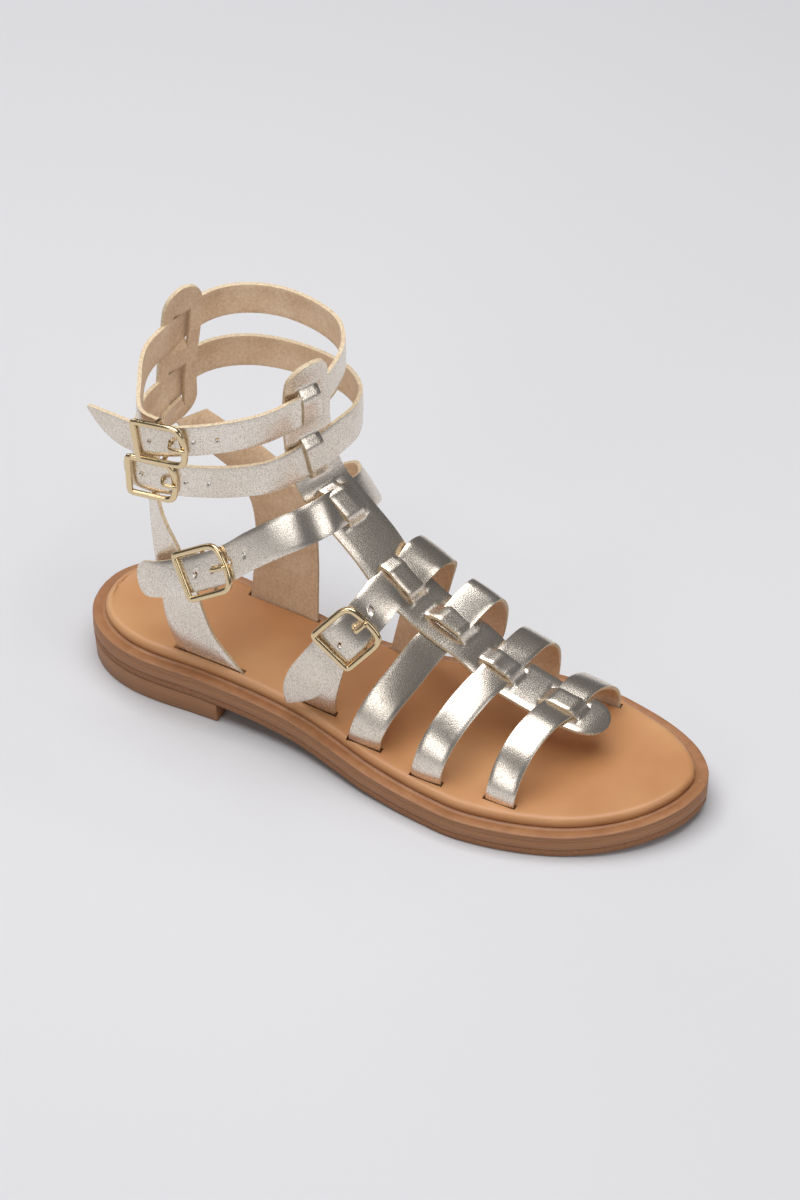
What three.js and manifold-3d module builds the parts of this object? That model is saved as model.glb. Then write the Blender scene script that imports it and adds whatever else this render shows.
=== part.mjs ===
// Gladiator sandal, right foot. Millimetres, +Y to the toe, +X to the little-toe side, +Z up.
// A moulded outsole with a low heel block, a stacked midsole, a padded footbed, and an upper of
// leather straps: each one comes up out of a footbed slot and joins the others where it crosses.
import * as THREE from "three";
import { mergeVertices } from "three/addons/utils/BufferGeometryUtils.js";
import Module from "manifold-3d";

const wasm = await Module();
wasm.setup();

// Driving sizes
const SOLE_LENGTH = 250;
const MIDDLE_X = 0.4; // middle of the whole sandal's width, from the middle of the heel
const GAP = 0.3; // between pieces that are bonded together
const OUTSOLE_THICK = 3.4;
const MIDSOLE_THICK = 6.3;
const HEEL_LENGTH = 65.5;
const HEEL_TAPER = 0.8;
const RIM = 5.2; // bare midsole showing round the footbed
const FOOTBED_THICK = 3.9;
const HEEL_SEAT_DISH = 0.9;
const STRAP_THICK = 1.8;
const STRAP_LIFT = 1.5; // one layer of leather riding on the next
const SLOT_CLEARANCE = 0.35;
const BRIDGE_WIDTH = 8;
const FRAME_WIRE = 1.9;
const PRONG_RADIUS = 0.75;
const RING_OUT = 2.1; // how far out of the strap's middle a buckle's frame lies
const BAR_IN = 2; // and how far in its centre bar runs

// Plan of the sole. The heel is a half round and the toe another, each a little fuller or leaner
// than an ellipse, and between them each side passes through a few widths of the waist.
const HEEL_ROUND = { length: 40, lateral: 30.5, medial: -29, fullness: 2.2 };
const TOE_ROUND = { tip: -8.5, fullness: 1.9 };
const END_FLAT = 2.4; // half of the short straight at the very back and front
const WAIST = {
  lateral: [
    { y: 40, x: 30.5 },
    { y: 70, x: 30 },
    { y: 100, x: 31.5 },
    { y: 135, x: 40 },
    { y: 168, x: 45 },
  ],
  medial: [
    { y: 40, x: -29 },
    { y: 70, x: -26.5 },
    { y: 100, x: -25 },
    { y: 130, x: -31 },
    { y: 160, x: -41.5 },
    { y: 186, x: -45 },
  ],
};

// Side profile of the underside: level at the heel, falling through the arch to the ground, flat
// under the ball, then the toe spring.
const HEEL_HEIGHT = 9.7;
const ARCH = { start: 45, end: 165 };
const TOE_SPRING = { start: 208, rise: 4.4, curve: 1.5 };

// The T-strap up the instep, from its round end over the toes to the tab at the ankle.
// x, y, z is its centre line, width across it, turn how far it faces the little-toe side.
const T_STRAP = [
  { at: "round end", x: -9, y: 209, z: 25.6, width: 7, turn: 8 },
  { at: "shoulder", x: -8.8, y: 207.4, z: 26.7, width: 13.6, turn: 8 },
  { at: "full width", x: -8.5, y: 204, z: 28.6, width: 18, turn: 8 },
  { at: "toe strap", x: -7, y: 192.4, z: 32, width: 19.5, turn: 9 },
  { at: "open", x: -6.5, y: 178, z: 36.6, width: 20, turn: 10 },
  { at: "third strap", x: -6, y: 167, z: 41.4, width: 20.5, turn: 11 },
  { at: "open", x: -5.5, y: 158, z: 48.9, width: 20.5, turn: 12 },
  { at: "second strap", x: -5, y: 146.6, z: 55.7, width: 21, turn: 14 },
  { at: "open", x: -4.5, y: 137, z: 61.6, width: 21, turn: 15 },
  { at: "instep strap", x: -4, y: 126.4, z: 70.5, width: 21.5, turn: 16 },
  { at: "plain instep", x: -3, y: 115.8, z: 85.6, width: 22, turn: 17 },
  { at: "lower ankle strap", x: -1, y: 103.6, z: 101.2, width: 22, turn: 19 },
  { at: "open", x: 0, y: 96.6, z: 110.2, width: 21.5, turn: 21 },
  { at: "middle ankle strap", x: 0.5, y: 92.3, z: 122.8, width: 21, turn: 23 },
  { at: "open", x: 1.5, y: 91.3, z: 135.2, width: 20.5, turn: 24 },
  { at: "top ankle strap", x: 2.3, y: 91.6, z: 147.5, width: 20.5, turn: 25 },
  { at: "tab", x: 3.3, y: 92.2, z: 160.6, width: 18.5, turn: 25 },
  { at: "tab shoulder", x: 3.8, y: 93.6, z: 166.6, width: 12.5, turn: 25 },
  { at: "tab top", x: 4, y: 94.4, z: 168.6, width: 6, turn: 25 },
];

// The back piece behind the ankle, from where its legs part up to its rounded top.
const BACK_PIECE = [
  { at: "fork", x: -8, y: 31.4, z: 110, width: 23, turn: 12 },
  { at: "middle ankle strap", x: -10, y: 30.6, z: 122.4, width: 19, turn: 20 },
  { at: "open", x: -11, y: 31, z: 135, width: 17.6, turn: 25 },
  { at: "top ankle strap", x: -12, y: 32.2, z: 148.6, width: 17.8, turn: 26 },
  { at: "shoulder", x: -12, y: 33.4, z: 160, width: 16.5, turn: 26 },
  { at: "round", x: -12, y: 34.2, z: 167, width: 11, turn: 26 },
  { at: "top", x: -12, y: 34.5, z: 169.4, width: 5, turn: 26 },
];

// Its two legs, from the footbed slot up to the fork. turn swings the leg round the heel,
// slope is how its foot follows the fall of the sole.
const LATERAL_LEG = [
  { x: 21, y: 60.5, z: 19.8, width: 29, turn: 0, slope: -0.07 },
  { x: 21.2, y: 56.5, z: 26.5, width: 25, turn: 0, slope: -0.03 },
  { x: 21.7, y: 51.5, z: 36, width: 20, turn: 0 },
  { x: 22, y: 48.3, z: 49, width: 17.6, turn: 2 },
  { x: 21.8, y: 45.4, z: 64, width: 16.4, turn: 6 },
  { x: 19.4, y: 40.4, z: 77, width: 15.6, turn: 24 },
  { x: 14.5, y: 34.6, z: 88, width: 14.5, turn: 45 },
  { x: 6.5, y: 31, z: 99, width: 13.5, turn: 66 },
  { x: -2.5, y: 30.6, z: 110, width: 12.5, turn: 84 },
  { x: -6, y: 31, z: 117, width: 12, turn: 95 },
];
const MEDIAL_LEG = [
  { x: -17.4, y: 70, z: 19, width: 29, turn: 0, slope: -0.09 },
  { x: -19.6, y: 69.6, z: 30, width: 28, turn: 0, slope: -0.03 },
  { x: -22, y: 69.4, z: 50, width: 26, turn: 2 },
  { x: -22.6, y: 67.4, z: 68, width: 25.5, turn: 6 },
  { x: -21.6, y: 61.6, z: 82, width: 24.5, turn: 14 },
  { x: -18.8, y: 52.5, z: 92.4, width: 21.5, turn: 28 },
  { x: -15, y: 42.6, z: 101.6, width: 17.5, turn: 45 },
  { x: -12, y: 35.4, z: 109.5, width: 13.5, turn: 60 },
];

// Foot straps, from their slot on the little-toe side over the T-strap to the other slot.
// lean is how far the strap's flat tips back toward the ankle there.
const FOOT_STRAPS = [
  {
    over: "toe strap",
    width: 11.6,
    lateral: [
      { x: 32.5, y: 185.5, z: 11.2, lean: 0 },
      { x: 31.6, y: 186, z: 18.5, lean: 0 },
      { x: 26.5, y: 186.6, z: 26.5, lean: 8 },
      { x: 18, y: 188.2, z: 33, lean: 12 },
      { x: 7, y: 190.4, z: 35.6, lean: 14 },
    ],
    medial: [
      { x: -19, y: 194.6, z: 33.6, lean: 14 },
      { x: -28.6, y: 196.6, z: 28.6, lean: 10 },
      { x: -34.2, y: 197.6, z: 20, lean: 2 },
      { x: -34, y: 198, z: 10.9, lean: 0 },
    ],
  },
  {
    over: "third strap",
    width: 12,
    lateral: [
      { x: 33.5, y: 156, z: 11.7, lean: 0 },
      { x: 33.8, y: 156.8, z: 20, lean: 0 },
      { x: 29.4, y: 158.6, z: 29.2, lean: 8 },
      { x: 20, y: 161.6, z: 36.8, lean: 18 },
      { x: 7.5, y: 165, z: 41.6, lean: 24 },
    ],
    medial: [
      { x: -17, y: 170, z: 43.8, lean: 24 },
      { x: -27, y: 171.4, z: 42, lean: 20 },
      { x: -34, y: 172, z: 34, lean: 10 },
      { x: -36.4, y: 171.6, z: 22.6, lean: 2 },
      { x: -34.6, y: 171, z: 11.2, lean: 0 },
    ],
  },
  {
    over: "second strap",
    width: 13,
    lateral: [
      { x: 29, y: 128, z: 13.5, lean: 0 },
      { x: 29.5, y: 129.4, z: 22.5, lean: 4 },
      { x: 25, y: 132.8, z: 33, lean: 14 },
      { x: 15.5, y: 138, z: 43, lean: 26 },
      { x: 5.5, y: 142.8, z: 51.6, lean: 30 },
    ],
    medial: [
      { x: -14, y: 150.6, z: 61.4, lean: 30 },
      { x: -21.6, y: 152.8, z: 62, lean: 26 },
      { x: -27.6, y: 153, z: 53.6, lean: 18 },
      { x: -30, y: 151, z: 38, lean: 8 },
      { x: -29, y: 148, z: 24, lean: 2 },
      { x: -28, y: 147, z: 12.3, lean: 0 },
    ],
  },
];

// The instep strap: slot on the inner side, over the T-strap, through its buckle to its point.
const INSTEP_STRAP = {
  over: "instep strap",
  width: 15.2,
  bedded: 0.5, // the T-strap is hollow here, so this one beds down into it
  medial: [
    { x: -20, y: 121.5, z: 14.2, lean: 0 },
    { x: -25.2, y: 124, z: 34, lean: 6 },
    { x: -27.4, y: 128.6, z: 56, lean: 16 },
    { x: -23.4, y: 132.6, z: 72.5, lean: 28 },
    { x: -14, y: 131, z: 76.4, lean: 34 },
  ],
  lateral: [
    { x: 5.4, y: 125.4, z: 72, lean: 36 },
    { x: 12.6, y: 123.8, z: 69.4, lean: 38 },
    { x: 18, y: 121.4, z: 65.4, lean: 41 },
    { x: 22, y: 118.2, z: 60.6, lean: 42 },
    { x: 25.2, y: 112.8, z: 53.2, lean: 40 },
    { x: 28.4, y: 107.6, z: 44.6, lean: 32 },
    { x: 28.6, y: 101.4, z: 33.4, lean: 24 },
    { x: 27.4, y: 97, z: 25.6, lean: 20, width: 13 },
    { x: 26.6, y: 94.8, z: 21.2, lean: 20, width: 4 },
  ],
};
const INSTEP_STAY = [
  { x: 21.6, y: 105, z: 16.2, lean: 0, width: 14 },
  { x: 22.6, y: 106.4, z: 28, lean: 8, width: 14 },
  { x: 22.4, y: 109, z: 40, lean: 24, width: 13.6 },
  { x: 21.4, y: 111.4, z: 48, lean: 40, width: 13.4 },
  { x: 19, y: 113.6, z: 54, lean: 42, width: 13.4 },
];

// The lower ankle strap runs from the inner leg over the T-strap down to its buckle.
const LOWER_ANKLE_STRAP = {
  over: "lower ankle strap",
  width: 14,
  tuck: 0.34,
  medial: [
    { x: -22.6, y: 74, z: 74, lean: 66 },
    { x: -24.6, y: 81.6, z: 79, lean: 64 },
    { x: -28, y: 91, z: 86.4, lean: 60 },
    { x: -27.6, y: 99.6, z: 92.4, lean: 56 },
    { x: -20.6, y: 105.4, z: 96, lean: 53 },
    { x: -11.6, y: 107, z: 99.6, lean: 52 },
  ],
  lateral: [
    { x: 9.4, y: 103, z: 103.6, lean: 54 },
    { x: 16.8, y: 98, z: 102, lean: 56 },
    { x: 21.4, y: 89.6, z: 97, lean: 58 },
    { x: 24.2, y: 79.6, z: 89, lean: 60 },
    { x: 25.8, y: 70, z: 79.8, lean: 64 },
    { x: 26.8, y: 60.4, z: 72.8, lean: 70 },
    { x: 28.2, y: 50.4, z: 67.2, lean: 72 },
    { x: 28.4, y: 42.6, z: 63, lean: 72 },
    { x: 27, y: 35.6, z: 59.6, lean: 72, width: 13 },
    { x: 26.2, y: 32.6, z: 58.2, lean: 72, width: 7 },
  ],
};

// A short stay off the lateral leg holds that buckle's bar, under the strap.
const LOWER_ANKLE_STAY = [
  { x: 21.8, y: 41.5, z: 61.6, lean: 72, width: 13 },
  { x: 22.8, y: 47, z: 64.4, lean: 72, width: 13 },
  { x: 23.6, y: 52.4, z: 67.6, lean: 72, width: 13 },
  { x: 23.6, y: 57.4, z: 70.2, lean: 72, width: 12.6 },
];

// The two straps round the ankle. Each starts at its buckle bar, passes behind the back piece,
// comes round the inner side, goes over the T-strap and through its own buckle to its point.
const ANKLE_STRAPS = [
  {
    over: "middle ankle strap",
    width: 14,
    toBack: [
      { x: 33, y: 43.4, z: 121.7, lean: 90 },
      { x: 30.6, y: 36.6, z: 121.7, lean: 90 },
      { x: 20, y: 31, z: 122.6, lean: 90 },
      { x: 7, y: 27.4, z: 123.2, lean: 90 },
    ],
    innerSide: [
      { x: -24.4, y: 31, z: 124.6, lean: 90 },
      { x: -33, y: 37.6, z: 125.4, lean: 90 },
      { x: -39, y: 48, z: 125.8, lean: 90 },
      { x: -41.6, y: 60, z: 126, lean: 90 },
      { x: -41.6, y: 74, z: 126, lean: 90 },
      { x: -38.6, y: 87, z: 125.8, lean: 90 },
      { x: -31, y: 96.4, z: 125.4, lean: 90 },
      { x: -20.6, y: 99.6, z: 125, lean: 86 },
      { x: -11, y: 98, z: 124.6, lean: 82 },
    ],
    toPoint: [
      { x: 11, y: 90.6, z: 123.4, lean: 82 },
      { x: 20, y: 84.6, z: 123, lean: 86 },
      { x: 27.6, y: 74, z: 122.6, lean: 90 },
      { x: 32.6, y: 63.4, z: 122.4, lean: 90 },
      { x: 35.4, y: 54, z: 122, lean: 90 },
      { x: 36.6, y: 46, z: 121.6, lean: 90 },
      { x: 36.6, y: 38.6, z: 121.9, lean: 90 },
      { x: 35.8, y: 35, z: 122.4, lean: 90, width: 11 },
    ],
  },
  {
    over: "top ankle strap",
    width: 13.3,
    toBack: [
      { x: 37.4, y: 50.4, z: 143.8, lean: 90 },
      { x: 35, y: 42, z: 143.6, lean: 90 },
      { x: 24, y: 35.4, z: 146, lean: 90 },
      { x: 9, y: 29.6, z: 148.6, lean: 90 },
    ],
    innerSide: [
      { x: -25.4, y: 34, z: 150, lean: 90 },
      { x: -33.4, y: 39.6, z: 150.4, lean: 90 },
      { x: -38.8, y: 48, z: 150.6, lean: 90 },
      { x: -41.4, y: 58, z: 150.7, lean: 90 },
      { x: -41.2, y: 68, z: 150.6, lean: 90 },
      { x: -38.6, y: 78.6, z: 150.4, lean: 90 },
      { x: -34, y: 86.6, z: 150.2, lean: 90 },
      { x: -25, y: 92.6, z: 149.8, lean: 90 },
      { x: -13, y: 95, z: 149.2, lean: 90 },
    ],
    toPoint: [
      { x: 13.4, y: 90.4, z: 148.4, lean: 90 },
      { x: 23, y: 84.6, z: 148, lean: 90 },
      { x: 33, y: 74, z: 147.6, lean: 90 },
      { x: 39, y: 63.6, z: 146.6, lean: 90 },
      { x: 41, y: 53, z: 144, lean: 90 },
      { x: 41.4, y: 43, z: 142.4, lean: 90 },
      { x: 41, y: 36, z: 143, lean: 90 },
      { x: 40, y: 29, z: 144.6, lean: 90, width: 12 },
      { x: 38.6, y: 22.4, z: 147.4, lean: 90, width: 3 },
    ],
  },
];

// Buckles: the middle of the centre bar's hold on the strap, then the two directions the frame
// lies along: from its back to its front, and along its bars.
const BUCKLES = [
  {
    name: "instep",
    centre: [22, 118.2, 60.6],
    toFront: [-6.8, 12, 15],
    alongBar: [0.1, -13.8, 12.4],
    opening: 16.4,
    length: 20.6,
  },
  {
    name: "lower_ankle",
    centre: [26.8, 61.4, 73.6],
    toFront: [-2.2, 20.6, 13.4],
    alongBar: [-6.4, -6.1, 18.5],
    opening: 16,
    length: 21.6,
  },
  {
    name: "middle_ankle",
    centre: [36.4, 46.6, 121.8],
    toFront: [-2, 18.8, 0.5],
    alongBar: [0, -0.4, 16],
    opening: 14.8,
    length: 19,
  },
  {
    name: "top_ankle",
    centre: [41, 53.4, 144.2],
    toFront: [-0.4, 19.6, 2.6],
    alongBar: [0, -2, 16],
    opening: 14.6,
    length: 20.6,
  },
];

const vec = (x, y, z) => new THREE.Vector3(x, y, z);
const radians = (degrees) => (degrees * Math.PI) / 180;

// A geometry with its seam vertices merged, ready to be cut or exported.
function sealed(geometry) {
  geometry.deleteAttribute("normal");
  geometry.deleteAttribute("uv");
  return mergeVertices(geometry, 1e-4);
}

function solid(geometry) {
  const g = sealed(geometry);
  return new wasm.Manifold(
    new wasm.Mesh({
      numProp: 3,
      vertProperties: new Float32Array(g.attributes.position.array),
      triVerts: new Uint32Array(g.index.array),
    }),
  );
}

function geometryOf(manifold) {
  const mesh = manifold.getMesh();
  const g = new THREE.BufferGeometry();
  g.setAttribute("position", new THREE.BufferAttribute(new Float32Array(mesh.vertProperties), 3));
  g.setIndex(new THREE.BufferAttribute(new Uint32Array(mesh.triVerts), 1));
  return g;
}

// ---- Sole ----
// A quarter round: how much of its half width is left a share of the way to its end.
const roundOff = (share, fullness) => (1 - share ** fullness) ** (1 / fullness);

// Distance of the plan's edge from the middle of the heel.
function edgeAt(side, y) {
  const waist = WAIST[side];
  const widest = waist.at(-1);
  if (y < HEEL_ROUND.length) {
    const half = HEEL_ROUND[side] * roundOff(1 - y / HEEL_ROUND.length, HEEL_ROUND.fullness);
    return Math.sign(widest.x) * Math.max(END_FLAT, Math.abs(half));
  }
  if (y > widest.y) {
    const share = Math.min(1, (y - widest.y) / (SOLE_LENGTH - widest.y));
    const half = (widest.x - TOE_ROUND.tip) * roundOff(share, TOE_ROUND.fullness);
    return TOE_ROUND.tip + Math.sign(widest.x) * Math.max(END_FLAT, Math.abs(half));
  }
  const line = new THREE.SplineCurve(waist.map((w) => new THREE.Vector2(w.y, w.x))).getPoints(120);
  const after = Math.max(1, line.findIndex((p) => p.x >= y));
  const [a, b] = [line[after - 1], line[after]];
  return THREE.MathUtils.mapLinear(y, a.x, b.x, a.y, b.y);
}

// Stations of the plan, closer together where the ends are round.
const TOE_START = 172;
const turns = [0, 15, 30, 45, 60, 75, 90].map(radians);
const STATIONS = [
  ...turns.slice(0, -1).map((a) => HEEL_ROUND.length * (1 - Math.cos(a))),
  ...[40, 55, 70, 85, 100, 115, 130, 145, 160],
  ...turns.map((a) => TOE_START + (SOLE_LENGTH - TOE_START) * Math.sin(a)),
];
const planCurve = (side) => new THREE.CatmullRomCurve3(STATIONS.map((y) => vec(edgeAt(side, y), y, 0)));
const PLAN_SIDE = { lateral: planCurve("lateral"), medial: planCurve("medial") };

// Height of the outsole's underside.
function underside(y) {
  const arch = THREE.MathUtils.smoothstep(y, ARCH.start, ARCH.end);
  const toe = Math.max(0, y - TOE_SPRING.start) / (SOLE_LENGTH - TOE_SPRING.start);
  return HEEL_HEIGHT * (1 - arch) + TOE_SPRING.rise * toe ** TOE_SPRING.curve;
}
const midsoleTop = (y) => underside(y) + OUTSOLE_THICK + GAP + MIDSOLE_THICK;

// A point of the plan's edge moved inward by inset.
function edgePoint(side, t, inset) {
  const curve = PLAN_SIDE[side];
  const p = curve.getPoint(t);
  const d = curve.getTangent(t);
  const outward = side === "lateral" ? vec(d.y, -d.x, 0) : vec(-d.y, d.x, 0);
  return p.addScaledVector(outward.normalize(), -inset);
}

// A layer of the sole between two stations of the plan. levels lists, from the bottom up, how far
// the edge stands in and what height the layer has there.
function soleLayer(levels, lastStation, across) {
  const stations = Math.round(52 * lastStation);
  const layer = new THREE.BoxGeometry(1, 1, 1, across, stations, levels.length - 1);
  const position = layer.attributes.position;
  for (let i = 0; i < position.count; i += 1) {
    const t = THREE.MathUtils.clamp(position.getY(i) + 0.5, 0, 1) * lastStation;
    const level = levels[Math.round((position.getZ(i) + 0.5) * (levels.length - 1))];
    const across01 = position.getX(i) + 0.5;
    const inner = edgePoint("medial", t, level.inset);
    const outer = edgePoint("lateral", t, level.inset);
    const p = inner.lerp(outer, across01);
    position.setXYZ(i, p.x, p.y, level.height(p.y, 2 * across01 - 1));
  }
  return layer;
}

const outsole = soleLayer(
  [
    { inset: 0.5, height: underside },
    { inset: 0, height: (y) => underside(y) + 1 },
    { inset: 0, height: (y) => underside(y) + OUTSOLE_THICK },
  ],
  1,
  2,
);
const midsole = soleLayer(
  [
    { inset: 0.3, height: (y) => underside(y) + OUTSOLE_THICK + GAP },
    { inset: 0, height: (y) => underside(y) + OUTSOLE_THICK + GAP + 0.6 },
    { inset: 0, height: (y) => midsoleTop(y) - 0.7 },
    { inset: 0.7, height: midsoleTop },
  ],
  1,
  2,
);

// The heel block: straight sided, cut square across at its breast.
function heelBlock() {
  const block = soleLayer(
    [
      { inset: HEEL_TAPER, height: () => 0 },
      { inset: 0.2, height: (y) => underside(y) - GAP },
    ],
    0.4,
    2,
  );
  const keep = new THREE.BoxGeometry(100, HEEL_LENGTH + 20, 40);
  keep.translate(0, HEEL_LENGTH / 2 - 10, 0);
  return solid(block).intersect(solid(keep));
}

// The padded footbed, dished a little under the heel.
function footbedPad() {
  const dish = (y, side) => {
    const heel = THREE.MathUtils.smoothstep(95 - y, 0, 60);
    return heel * HEEL_SEAT_DISH * (1 - side * side);
  };
  const base = (y) => midsoleTop(y) + GAP;
  return soleLayer(
    [
      { inset: RIM, height: base },
      { inset: RIM, height: (y) => base(y) + 2.2 },
      { inset: RIM + 0.6, height: (y) => base(y) + 3.3 },
      { inset: RIM + 2, height: (y, side) => base(y) + FOOTBED_THICK - dish(y, side) },
    ],
    1,
    2,
  );
}

// ---- Straps ----
// Each row of a path: centre point, half of the strap's width as a vector across it.
const row = (point, across, width) => ({ point, across: across.setLength(width / 2) });

// A band of leather swept along rows. grow adds to its section all round.
function band(rows, grow = 0) {
  const centre = new THREE.CatmullRomCurve3(rows.map((r) => r.point));
  const across = new THREE.CatmullRomCurve3(rows.map((r) => r.across));
  const length = 2 * (rows.length - 1);
  const box = new THREE.BoxGeometry(1, 1, 1, 1, 1, length);
  const position = box.attributes.position;
  for (let i = 0; i < position.count; i += 1) {
    const t = THREE.MathUtils.clamp(position.getZ(i) + 0.5, 0, 1);
    const side = across.getPoint(t);
    const half = side.length() + grow;
    side.normalize();
    const face = centre.getTangent(t).cross(side).normalize();
    const p = centre.getPoint(t);
    p.addScaledVector(side, 2 * half * position.getX(i));
    p.addScaledVector(face, position.getY(i) * (STRAP_THICK + 2 * grow));
    position.setXYZ(i, p.x, p.y, p.z);
  }
  return box;
}

// The middle of a slit strap, arched out over the strap that it holds.
function bridge(rows, index, strapWidth) {
  const centre = new THREE.CatmullRomCurve3(rows.map((r) => r.point));
  const across = new THREE.CatmullRomCurve3(rows.map((r) => r.across));
  const span = rows[index + 1].point.distanceTo(rows[index - 1].point) / 2;
  const arch = [
    { along: -0.5 * strapWidth - 4, out: 0 },
    { along: -0.5 * strapWidth - 1.6, out: 1 },
    { along: -0.5 * strapWidth + 0.6, out: 2 * STRAP_LIFT - 0.3 },
    { along: 0, out: 2 * STRAP_LIFT },
    { along: 0.5 * strapWidth - 0.6, out: 2 * STRAP_LIFT - 0.3 },
    { along: 0.5 * strapWidth + 1.6, out: 1 },
    { along: 0.5 * strapWidth + 4, out: 0 },
  ];
  return band(
    arch.map(({ along, out }) => {
      const t = (index + along / span) / (rows.length - 1);
      const side = across.getPoint(t);
      const face = centre.getTangent(t).cross(side).normalize();
      return row(centre.getPoint(t).addScaledVector(face, out), side, BRIDGE_WIDTH);
    }),
    -0.1,
  );
}

// Where a strap rides over a row of a slit strap: one layer out, its width along that strap.
function crossing(rows, index, { width, bedded = 0 }, sign) {
  const centre = new THREE.CatmullRomCurve3(rows.map((r) => r.point));
  const t = index / (rows.length - 1);
  const along = centre.getTangent(t);
  const face = along.clone().cross(rows[index].across).normalize();
  const point = rows[index].point.clone().addScaledVector(face, STRAP_LIFT - bedded);
  return row(point, along.multiplyScalar(sign), width);
}

// A lean of 0 puts the strap's width level along the foot, 90 stands it upright. tuck leans its
// upper edge in toward the leg.
function leaning(list, width, sign, tuck = 0) {
  return list.map((r) => {
    const a = radians(r.lean);
    const across = vec(-tuck, -Math.cos(a), Math.sin(a)).multiplyScalar(sign);
    return row(vec(r.x, r.y, r.z), across, r.width ?? width);
  });
}

const tRows = T_STRAP.map((r) => {
  const a = radians(r.turn);
  return row(vec(r.x, r.y, r.z), vec(Math.cos(a), -Math.sin(a), 0), r.width);
});
const backRows = BACK_PIECE.map((r) => {
  const a = radians(r.turn);
  return row(vec(r.x, r.y, r.z), vec(-Math.cos(a), Math.sin(a), 0), r.width);
});
const lateralLegRows = LATERAL_LEG.map((r) => {
  const a = radians(r.turn);
  const across = vec(-Math.sin(a), -Math.cos(a), -(r.slope ?? 0));
  return row(vec(r.x, r.y, r.z), across, r.width);
});
const medialLegRows = MEDIAL_LEG.map((r) => {
  const a = radians(r.turn);
  const across = vec(-Math.sin(a), Math.cos(a), r.slope ?? 0);
  return row(vec(r.x, r.y, r.z), across, r.width);
});

const onT = (name) => T_STRAP.findIndex((r) => r.at === name);
const onBack = (name) => BACK_PIECE.findIndex((r) => r.at === name);

const footStrapRows = FOOT_STRAPS.map((s) => [
  ...leaning(s.lateral, s.width, 1),
  crossing(tRows, onT(s.over), s, 1),
  ...leaning(s.medial, s.width, 1),
]);
const acrossToLateral = (s) => [
  ...leaning(s.medial, s.width, -1),
  crossing(tRows, onT(s.over), s, -1),
  ...leaning(s.lateral, s.width, -1, s.tuck),
];
const instepRows = acrossToLateral(INSTEP_STRAP);
const lowerAnkleRows = acrossToLateral(LOWER_ANKLE_STRAP);
const instepStayRows = leaning(INSTEP_STAY, 14, 1);
const lowerAnkleStayRows = leaning(LOWER_ANKLE_STAY, 14, 1, LOWER_ANKLE_STRAP.tuck);
const ankleRows = ANKLE_STRAPS.map((s) => [
  ...leaning(s.toBack, s.width, -1),
  crossing(backRows, onBack(s.over), s, -1),
  ...leaning(s.innerSide, s.width, -1),
  crossing(tRows, onT(s.over), s, -1),
  ...leaning(s.toPoint, s.width, -1),
]);

// ---- Buckles ----
function buckleFrame({ centre, toFront, alongBar }) {
  const front = vec(...toFront).normalize();
  const out = front.clone().cross(vec(...alongBar)).normalize();
  const bar = out.clone().cross(front);
  return new THREE.Matrix4().makeBasis(front, bar, out).setPosition(...centre);
}

// A rectangular frame lying over the strap, its front bowed out a little, with a centre bar that
// runs under the strap between two lugs.
function buckleRing({ opening, length }) {
  const outline = (wall, path) => {
    const back = -length / 2 + wall;
    const front = length / 2 - wall;
    const side = opening / 2 + FRAME_WIRE - wall;
    const corner = 2.4 - 0.6 * wall;
    path.moveTo(back, -side);
    path.lineTo(front - corner, -side);
    path.quadraticCurveTo(front, -side, front + 0.5, -side + corner);
    path.quadraticCurveTo(front + 1.6, 0, front + 0.5, side - corner);
    path.quadraticCurveTo(front, side, front - corner, side);
    path.lineTo(back, side);
    path.closePath();
    return path;
  };
  const shape = outline(0, new THREE.Shape());
  shape.holes.push(outline(FRAME_WIRE, new THREE.Path()));
  const ring = new THREE.ExtrudeGeometry(shape, { depth: 1.7, bevelEnabled: false, curveSegments: 4 });
  ring.translate(0, 0, RING_OUT - 0.85);
  const width = opening + 2 * FRAME_WIRE - 0.4;
  const bar = new THREE.BoxGeometry(1.5, width, 1.4);
  bar.translate(0, 0, -BAR_IN);
  const lugs = [-1, 1].map((side) => {
    const lug = new THREE.BoxGeometry(2.4, FRAME_WIRE - 0.5, RING_OUT + BAR_IN);
    lug.translate(0, side * (width / 2 - (FRAME_WIRE - 0.5) / 2), (RING_OUT - BAR_IN) / 2);
    return lug;
  });
  return geometryOf([bar, ...lugs].reduce((all, one) => all.add(solid(one)), solid(ring)));
}

// The prong hinges on the centre bar, comes up through its hole and rests on the front.
function prong(length, radius) {
  const half = length / 2;
  const path = new THREE.CatmullRomCurve3([
    vec(1.2, 0, -BAR_IN),
    vec(2.4, 0, -1.4),
    vec(4.2, 0, 0.9),
    vec(5.4, 0, RING_OUT + 1.5),
    vec(half - 1, 0, RING_OUT + 2),
    vec(half + 1.4, 0, RING_OUT + 1.9),
  ]);
  const shape = new THREE.Shape().absarc(0, 0, radius, 0, 2 * Math.PI);
  return new THREE.ExtrudeGeometry(shape, {
    steps: 8,
    extrudePath: path,
    curveSegments: 4,
    bevelEnabled: false,
  });
}

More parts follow.
